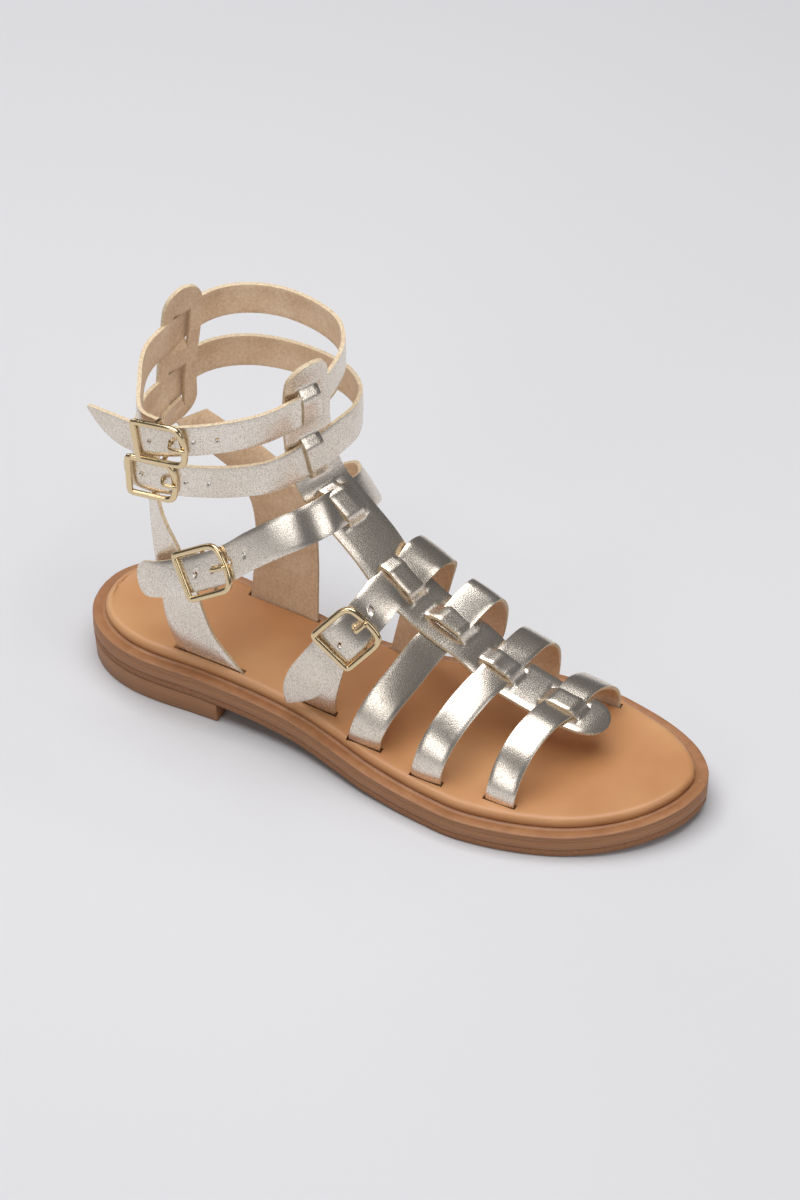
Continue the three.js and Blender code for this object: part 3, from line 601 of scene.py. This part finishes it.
def stacked_edge():
    """Stacked leather board, sanded and waxed: brown with fine level lines of its layers on the
    wall, 0.5 mm apart, and a plain close grain on top."""
    made, tree, shader, place = finish_named("waxed stacked board")
    layers = add(tree, "Mapping", None, {"Vector": place, "Scale": (1, 1, 60)})
    lines = add(
        tree, "TexNoise", None,
        {"Vector": layers.outputs["Vector"], "Scale": 1 / 0.03, "Detail": 3, "Roughness": 0.6},
    )
    board = add(tree, "TexNoise", None, {"Vector": place, "Scale": 1 / 0.006, "Detail": 4, "Roughness": 0.6})
    facing_up = add(tree, "SeparateXYZ", None, {0: add(tree, "NewGeometry").outputs["Normal"]})
    level = add(
        tree, "MapRange", None,
        {"Value": facing_up.outputs["Z"], "From Min": 0.3, "From Max": 0.7, "To Min": 0, "To Max": 1},
    )
    both = add(
        tree, "Mix", {"data_type": "FLOAT"},
        {0: level.outputs["Result"], 2: lines.outputs["Fac"], 3: board.outputs["Fac"]},
    )
    tone = add(
        tree, "ValToRGB", None, {"Fac": both.outputs[0]},
        [(0.3, "#936440"), (0.5, "#9e6d48"), (0.7, "#a87851")],
    )
    tree.links.new(tone.outputs["Color"], shader.inputs["Base Color"])
    relief = add(tree, "Bump", None, {"Height": both.outputs[0], "Strength": 0.15, "Distance": 0.0002})
    tree.links.new(relief.outputs["Normal"], shader.inputs["Normal"])
    shader.inputs["Roughness"].default_value = 0.5
    return made


def sole_rubber():
    """Thin moulded rubber, matte with a fine moulded grain."""
    made, tree, shader, place = finish_named("brown sole rubber")
    grain = add(tree, "TexNoise", None, {"Vector": place, "Scale": 1 / 0.001, "Detail": 3})
    tone = add(tree, "ValToRGB", None, {"Fac": grain.outputs["Fac"]}, [(0.3, "#865a3b"), (0.7, "#976846")])
    tree.links.new(tone.outputs["Color"], shader.inputs["Base Color"])
    relief = add(tree, "Bump", None, {"Height": grain.outputs["Fac"], "Strength": 0.3, "Distance": 0.0002})
    tree.links.new(relief.outputs["Normal"], shader.inputs["Normal"])
    shader.inputs["Roughness"].default_value = 0.7
    return made


def pale_gilt():
    """Die-cast alloy plated pale gold and polished, with a haze of fine rubbing."""
    made, tree, shader, place = finish_named("pale gilt plate")
    haze = add(tree, "TexNoise", None, {"Vector": place, "Scale": 1 / 0.002, "Detail": 4})
    rough = add(
        tree, "MapRange", None,
        {"Value": haze.outputs["Fac"], "From Min": 0.3, "From Max": 0.7, "To Min": 0.1, "To Max": 0.22},
    )
    tree.links.new(rough.outputs["Result"], shader.inputs["Roughness"])
    shader.inputs["Base Color"].default_value = linear("#e6cfa6")
    shader.inputs["Metallic"].default_value = 1
    return made


FOIL, SUEDE, EDGE = foil_leather(), suede(), raw_edge()
STRAP_LEATHERS = (FOIL, SUEDE, EDGE)
TAN, BOARD, RUBBER, GILT = footbed_leather(), stacked_edge(), sole_rubber(), pale_gilt()


# ---- Sole ----
def round_off(share, fullness):
    """How much of a round end's half width is left a share of the way to its end."""
    return (1 - min(share, 1) ** fullness) ** (1 / fullness)


def edge_at(waist, y):
    """Distance of the plan's edge from the middle of the heel."""
    widest_y, widest = waist[-1]
    side = math.copysign(1, widest)
    if y < HEEL_ROUND:
        return side * max(END_FLAT, abs(waist[0][1]) * round_off(1 - y / HEEL_ROUND, HEEL_FULLNESS))
    if y > widest_y:
        share = (y - widest_y) / (SOLE_LENGTH - widest_y)
        return TOE_TIP + side * max(END_FLAT, abs(widest - TOE_TIP) * round_off(share, TOE_FULLNESS))
    line = [Vector((0, *p)) for p in waist]
    walk = [on_line(line, i / 120) for i in range(121)]
    after = max(1, next((i for i, p in enumerate(walk) if p.y >= y), 120))
    a, b = walk[after - 1], walk[after]
    return a.z + (b.z - a.z) * (y - a.y) / (b.y - a.y)


TURNS = [math.radians(15 * i) for i in range(7)]
STATIONS = [
    *(HEEL_ROUND * (1 - math.cos(a)) for a in TURNS[:-1]),
    *range(HEEL_ROUND, 161, 15),
    *(TOE_START + (SOLE_LENGTH - TOE_START) * math.sin(a) for a in TURNS),
]
SIDE_LINES = {
    1: [Vector((edge_at(LATERAL_WAIST, y), y, 0)) for y in STATIONS],
    -1: [Vector((edge_at(MEDIAL_WAIST, y), y, 0)) for y in STATIONS],
}


def edge_point(side, t, inset):
    line = SIDE_LINES[side]
    low, high = max(t - 0.0005, 0), min(t + 0.0005, 1)
    ahead = on_line(line, high) - on_line(line, low)
    out = Vector((ahead.y, -ahead.x, 0)).normalized() * side
    if t in (0, 1):
        out = Vector((0, 2 * t - 1, 0))
    return on_line(line, t) - out * inset


def underside(y):
    """Height of the outsole's underside, flat on the ground under the ball of the foot."""
    toe = max(0, y - SPRING_START) / (SOLE_LENGTH - SPRING_START)
    fall = ease((y - ARCH[0]) / (ARCH[1] - ARCH[0]))
    return HEEL_HEIGHT * (1 - fall) + SPRING_RISE * toe**SPRING_CURVE


def midsole_top(y):
    return underside(y) + OUTSOLE_THICK + GAP + MIDSOLE_THICK


def slab(levels, last=1.0, lengthwise=150, crosswise=14):
    """A layer of the sole. levels go up: how far the edge stands in, and the height there."""
    bm = bmesh.new()
    bmesh.ops.create_grid(bm, x_segments=crosswise, y_segments=lengthwise, size=0.5)
    place = {}
    across = bm.verts.layers.float.new("across")
    along = bm.verts.layers.float.new("along")
    for v in bm.verts:
        v[across] = v.co.x + 0.5
        v[along] = min(max(v.co.y + 0.5, 0), 1) * last

    def settle(verts, inset, height):
        for v in verts:
            key = (round(v[along], 6), inset)
            if key not in place:
                place[key] = edge_point(-1, v[along], inset), edge_point(1, v[along], inset)
            inner, outer = place[key]
            p = inner.lerp(outer, v[across])
            v.co = Vector((p.x, p.y, height(p.y, 2 * v[across] - 1)))

    settle(bm.verts, *levels[0])
    top = bottom = list(bm.faces)
    for inset, height in levels[1:]:
        lifted = bmesh.ops.extrude_face_region(bm, geom=top)["geom"]
        if top is not bottom:
            bmesh.ops.delete(bm, geom=top, context="FACES")
        top = [g for g in lifted if isinstance(g, bmesh.types.BMFace)]
        settle([g for g in lifted if isinstance(g, bmesh.types.BMVert)], inset, height)
    bmesh.ops.recalc_face_normals(bm, faces=bm.faces)
    return bm


def rounded(inset, height, radius, steps=4):
    """Levels that turn a top edge over with a radius."""
    turns = [math.pi / 2 * i / steps for i in range(1, steps + 1)]
    return [
        (inset + radius * (1 - math.cos(a)), lambda y, s, a=a: height(y, s) - radius * (1 - math.sin(a)))
        for a in turns
    ]


def groove(inset, height, depth, width):
    """Levels of a line cut into the wall, its middle at a height."""
    return [
        (inset, lambda y, s: height(y, s) - width / 2),
        (inset + depth, lambda y, s: height(y, s)),
        (inset, lambda y, s: height(y, s) + width / 2),
    ]


def above(y, s):
    return midsole_top(y)


outsole = slab([
    (0.9, lambda y, s: underside(y)),
    (0.35, lambda y, s: underside(y) + 0.3),
    (0.1, lambda y, s: underside(y) + 0.9),
    (0.1, lambda y, s: underside(y) + OUTSOLE_THICK + 0.05),
])
piece("outsole_rubber", outsole, [RUBBER], ("outsole",), 0, 0)

midsole_wall = [
    (0.15, lambda y, s: underside(y) + OUTSOLE_THICK + 0.1),
    (0, lambda y, s: underside(y) + OUTSOLE_THICK + 0.3),
    *groove(0, lambda y, s: midsole_top(y) - 2.5, 0.14, 0.25),
    *groove(0, lambda y, s: midsole_top(y) - 1.2, 0.2, 0.3),
    (0, lambda y, s: midsole_top(y) - 0.5),
    *rounded(0, above, 0.5),
    *[(RIM - 1.6 + d, lambda y, s, h=h: midsole_top(y) - h) for d, h in ((0, 0), (0.35, 0.3), (0.7, 0))],
]
piece("stacked_midsole", slab(midsole_wall), [BOARD], ("midsole",), 0, 0)

heel = slab(
    [
        (HEEL_TAPER + 0.5, lambda y, s: 0),
        (HEEL_TAPER, lambda y, s: 0.5),
        (0.3, lambda y, s: underside(y) - 0.6),
        (0.5, lambda y, s: underside(y) - 0.1),
    ],
    last=0.42,
    lengthwise=90,
)
breast = bmesh.ops.bisect_plane(
    heel, geom=[*heel.verts, *heel.edges, *heel.faces], plane_co=(0, HEEL_LENGTH, 0),
    plane_no=(0, 1, 0), clear_outer=True,
)
bmesh.ops.edgeloop_fill(heel, edges=[e for e in breast["geom_cut"] if isinstance(e, bmesh.types.BMEdge)])
bmesh.ops.recalc_face_normals(heel, faces=heel.faces)
heel_block = piece("heel_block", heel, [BOARD], ("heel",), 0, 0.35)


def seat_of(centre, to_front, along_bar):
    """A buckle's own axes: x from bar to front, y along the bar, z out of the strap."""
    front = Vector(to_front).normalized()
    out = front.cross(Vector(along_bar)).normalized()
    bar = out.cross(front)
    turn = Matrix((front, bar, out)).transposed().to_4x4()
    return Matrix.Translation(centre) @ turn


# ---- Straps ----
t_rows = facing(T_STRAP, 1)
back_rows = facing(BACK_PIECE, -1)
t_strap, back_piece = Strap(t_rows), Strap(back_rows)


def over_t(spec, sign):
    return crossing(t_rows, where(T_STRAP, spec["over"]), spec["width"], sign)


def over_back(spec, sign):
    return crossing(back_rows, where(BACK_PIECE, spec["over"]), spec["width"], sign)


def name_of(spec):
    return spec["over"].replace(" ", "_")


def held(table, strap, specs):
    return [(strap.distance_of_row(where(table, s["over"])), s["width"]) for s in specs]


straps = {}
for spec in FOOT_STRAPS:
    w = spec["width"]
    rows = leaning(spec["lateral"], w, 1) + [over_t(spec, 1)] + leaning(spec["medial"], w, 1)
    straps[name_of(spec)] = (Strap(rows), ("cut", "cut"))
for spec in (INSTEP_STRAP, LOWER_ANKLE_STRAP):
    w = spec["width"]
    outer = leaning(spec["lateral"], w, -1, spec.get("tuck", 0))
    rows = leaning(spec["medial"], w, -1) + [over_t(spec, -1)] + outer
    tip = "blunt" if spec is LOWER_ANKLE_STRAP else "point"
    straps[name_of(spec)] = (Strap(rows), ("cut", tip))
for spec in ANKLE_STRAPS:
    w = spec["width"]
    rows = (
        leaning(spec["to_back"], w, -1) + [over_back(spec, -1)] + leaning(spec["inner"], w, -1)
        + [over_t(spec, -1)] + leaning(spec["to_point"], w, -1)
    )
    straps[name_of(spec)] = (Strap(rows), ("cut", "blunt" if spec is ANKLE_STRAPS[0] else "point"))
straps["instep_stay"] = (Strap(leaning(INSTEP_STAY, 14, 1)), ("cut", "cut"))
stay_rows = leaning(LOWER_ANKLE_STAY, 14, 1, LOWER_ANKLE_STRAP["tuck"])
straps["lower_ankle_stay"] = (Strap(stay_rows), ("cut", "cut"))
straps["lateral_leg"] = (Strap(leg(LATERAL_LEG, -1)), ("cut", "cut"))
straps["medial_leg"] = (Strap(leg(MEDIAL_LEG, 1)), ("cut", "cut"))

for name, (strap, ends) in straps.items():
    buckled = name.replace("_strap", "")
    holes = []
    if buckled in BUCKLES:
        rise = seat_of(*BUCKLES[buckled][:3]) @ Vector(PRONG_RISE)
        tries = [strap.length - HOLE_SEARCH_STEP * i for i in range(HOLE_SEARCH_COUNT)]
        over = min(tries, key=lambda d: (strap.at(d)[0] - rise).length)
        holes = [over + HOLE_PITCH * (1 - i) for i in range(HOLE_COUNT[buckled])]
        holes = [gone for gone in holes if gone < strap.length - HOLE_TO_END]
    at = stations(strap.length, holes, 1.7, ends[0] != "cut", ends[1] != "cut")
    leather = sheet_of(strap, at, ends=ends)
    for gone in holes:
        punch(leather, strap, gone)
    nodes = ("instep_stay",) if name == "instep_stay" else ("upper",)
    piece(name, leather, STRAP_LEATHERS, nodes)

for name, table, strap, specs, ends in (
    ("t_strap", T_STRAP, t_strap,
     [*FOOT_STRAPS, INSTEP_STRAP, LOWER_ANKLE_STRAP, *ANKLE_STRAPS], ("round", "round")),
    ("back_piece", BACK_PIECE, back_piece, ANKLE_STRAPS, ("blunt", "round")),
):
    crossings = held(table, strap, specs)
    marks = [d for reach in slit_ends(crossings) for d in reach]
    at = stations(strap.length, marks, 1.3, True, True)
    leather = sheet_of(strap, at, slit_columns, ends, crown=0.35)
    cut_slits(leather, strap, at, crossings)
    piece(name, leather, STRAP_LEATHERS)


# ---- Footbed, cut for the straps ----
def dished(y, s):
    return HEEL_SEAT_DISH * ease((95 - y) / 60) * (1 - s * s)


def bed_top(y, s):
    return midsole_top(y) + 0.1 + FOOTBED_THICK - dished(y, s)


bed = slab(
    [
        (RIM + 0.3, lambda y, s: midsole_top(y) + 0.1),
        (RIM, lambda y, s: midsole_top(y) + 0.7),
        (RIM, lambda y, s: midsole_top(y) + 1.7),
        *rounded(RIM, lambda y, s: midsole_top(y) + 0.1 + FOOTBED_THICK, 2.3, 5)[:-1],
        (RIM + 2.4, bed_top),
    ],
    lengthwise=170,
    crosswise=40,
)
footbed = piece("padded_footbed", bed, [TAN], ("footbed",), 0, 0)
cutter = bmesh.new()
for name, start, end in (
    ("toe_strap", True, True), ("third_strap", True, True), ("second_strap", True, True),
    ("instep_strap", True, False), ("instep_stay", True, False), ("lateral_leg", True, False),
    ("medial_leg", True, False),
):
    strap = straps[name][0]
    for wanted, gone, way in ((start, 0, 1), (end, strap.length, -1)):
        if not wanted:
            continue
        foot, side, face, half = strap.at(gone)
        rise = (strap.at(gone + 7 * way)[0] - foot).normalized()
        box = bmesh.ops.create_cube(cutter, size=1)["verts"]
        across = side.normalized()
        out = rise.cross(across).normalized()
        turn = Matrix((across, out, rise)).transposed().to_4x4()
        grow = Matrix.Diagonal((2 * half + 1.6, STRAP_THICK + 1.1, 16, 1))
        bmesh.ops.transform(cutter, matrix=Matrix.Translation(foot) @ turn @ grow, verts=box)
cutter.transform(TO_FRAME)
slots = bpy.data.meshes.new("slots")
cutter.to_mesh(slots)
cutter.free()
slot_tool = bpy.data.objects.new("slots", slots)
bpy.context.scene.collection.objects.link(slot_tool)
cut = footbed.modifiers.new("slots", "BOOLEAN")
cut.operation = "DIFFERENCE"
cut.solver = "EXACT"
cut.object = slot_tool
bpy.context.view_layer.update()
done = bpy.data.meshes.new_from_object(footbed.evaluated_get(bpy.context.evaluated_depsgraph_get()))
footbed.modifiers.clear()
footbed.data = done
footbed.data.set_sharp_from_angle(angle=math.radians(50))
bpy.data.objects.remove(slot_tool)


# ---- Buckles ----
def tube(path, sections, closed):
    """A bar swept along a path. sections(i) gives its half width and half height at point i."""
    bm = bmesh.new()
    around, along = 14, len(path) - (0 if closed else 1)
    bmesh.ops.create_grid(bm, x_segments=around, y_segments=along, size=0.5)
    for v in bm.verts:
        turn = -2 * math.pi * (v.co.x + 0.5)
        j = round((v.co.y + 0.5) * along)
        here = path[j % len(path)]
        if closed:
            ahead = path[(j + 1) % len(path)] - path[j - 1]
        else:
            ahead = path[min(j + 1, along)] - path[max(j - 1, 0)]
        up = Vector((0, 0, 1))
        aside = ahead.cross(up).normalized()
        up = aside.cross(ahead).normalized()
        wide, high = sections(j % len(path))
        c, s = math.cos(turn), math.sin(turn)
        r = (abs(c) ** 3 + abs(s) ** 3) ** (-1 / 3)
        v.co = here + aside * wide * r * c + up * high * r * s
    bmesh.ops.remove_doubles(bm, verts=bm.verts, dist=0.01)
    bmesh.ops.holes_fill(bm, edges=[e for e in bm.edges if e.is_boundary])
    bmesh.ops.recalc_face_normals(bm, faces=bm.faces)
    return bm


def frame_path(length, opening):
    """The middle of the frame's wire: square at the back, rounder and bowed at the front."""
    reach, half = (length - WIRE) / 2, (opening + WIRE) / 2
    path = []
    for i in range(96):
        a = 2 * math.pi * i / 96
        c, s = math.cos(a), math.sin(a)
        power = 6 if c > 0 else 18
        r = (abs(c / reach) ** power + abs(s / half) ** power) ** (-1 / power)
        x, y = r * c, r * s
        if x > 0:
            x += 1.1 * (1 - (y / half) ** 2) * ease(x / reach)
        path.append(Vector((x, y, RING_OUT)))
    return path


def bar_path(opening):
    """The centre bar: from the frame's side down, along under the strap, and up again."""
    half = (opening + WIRE) / 2
    points = [(-half - 0.3, RING_OUT), (-half - 0.1, 0), (-half + 0.5, -BAR_IN + 0.1)]
    points += [(0, -BAR_IN)] + [(-y, z) for y, z in reversed(points)]
    line = [Vector((0, y, z)) for y, z in points]
    return [on_line(line, i / PATH_STEPS) for i in range(PATH_STEPS + 1)]


def prong_path(length):
    half = length / 2
    points = [
        (1.2, -BAR_IN), (2.4, -1.4), (PRONG_RISE[0], PRONG_RISE[2]), (5.4, RING_OUT + 1.4),
        (half - 1, RING_OUT + 1.8), (half + 1.3, RING_OUT + 1.6),
    ]
    line = [Vector((x, 0, z)) for x, z in points]
    return [on_line(line, i / PATH_STEPS) for i in range(PATH_STEPS + 1)]


for name, (centre, to_front, along_bar, opening, length) in BUCKLES.items():
    seat = seat_of(centre, to_front, along_bar)
    ring = tube(frame_path(length, opening), lambda i: (1.2, 0.95), True)
    bar = tube(bar_path(opening), lambda i: (0.8, 0.7), False)
    joined = bpy.data.meshes.new("bar")
    bar.to_mesh(joined)
    bar.free()
    ring.from_mesh(joined)
    bpy.data.meshes.remove(joined)
    ring.transform(seat)
    piece("buckle_" + name, ring, [GILT], ("buckle_" + name,), 0, 0)
    path = prong_path(length)
    taper = [
        PRONG_RADIUS * math.sqrt(min(1, (PATH_STEPS - i + 0.4) / 6)) for i in range(PATH_STEPS + 1)
    ]
    tongue = tube(path, lambda i: (taper[i], taper[i] * 0.85), False)
    tongue.transform(seat)
    piece("prong_" + name, tongue, [GILT], ("prong_" + name,), 0, 0)


# ---- Studio ----
ground = bmesh.new()
bmesh.ops.create_grid(ground, x_segments=1, y_segments=1, size=6)
floor_mesh = bpy.data.meshes.new("floor")
ground.to_mesh(floor_mesh)
ground.free()
floor = bpy.data.objects.new("floor", floor_mesh)
bpy.context.scene.collection.objects.link(floor)
paper, tree, shader, place = finish_named("pale backdrop paper")
shader.inputs["Base Color"].default_value = linear("#d3d3d6")
shader.inputs["Roughness"].default_value = 0.9
floor_mesh.materials.append(paper)


def softbox(name, at, aim, size, power):
    lamp = bpy.data.lights.new(name, "AREA")
    lamp.shape = "RECTANGLE"
    lamp.size, lamp.size_y = size
    lamp.energy = power
    made = bpy.data.objects.new(name, lamp)
    made.location = at
    made.rotation_euler = (Vector(aim) - Vector(at)).to_track_quat("-Z", "Y").to_euler()
    bpy.context.scene.collection.objects.link(made)


softbox("overhead", (0.0, -0.1, 1.4), (0, 0, 0), (1.3, 1.5), 24)
softbox("toe side", (0.3, 1.6, 0.9), (0, 0, 0.05), (0.9, 0.9), 5)
softbox("heel side", (-0.6, -1.5, 0.9), (0, 0, 0.05), (0.9, 0.9), 4)
softbox("little-toe side", (1.6, -0.3, 0.7), (0, 0, 0.08), (0.8, 0.8), 4)
world = bpy.data.worlds.new("studio")
world.use_nodes = True
world.node_tree.nodes["Background"].inputs["Color"].default_value = linear("#d8d8da")
world.node_tree.nodes["Background"].inputs["Strength"].default_value = 0.13
bpy.context.scene.world = world
bpy.context.scene.view_settings.view_transform = "Standard"

CAMERA_AT = Vector((1.1176, 0.5696, 1.2099))
AIM = Vector((-0.003, 0.002, 0.062))
camera_data = bpy.data.cameras.new("camera")
camera_data.sensor_fit = "VERTICAL"
camera_data.sensor_height = 36
camera_data.lens = 138
camera = bpy.data.objects.new("camera", camera_data)
camera.location = CAMERA_AT
camera.rotation_euler = (AIM - CAMERA_AT).to_track_quat("-Z", "Y").to_euler()
bpy.context.scene.collection.objects.link(camera)
bpy.context.scene.camera = camera
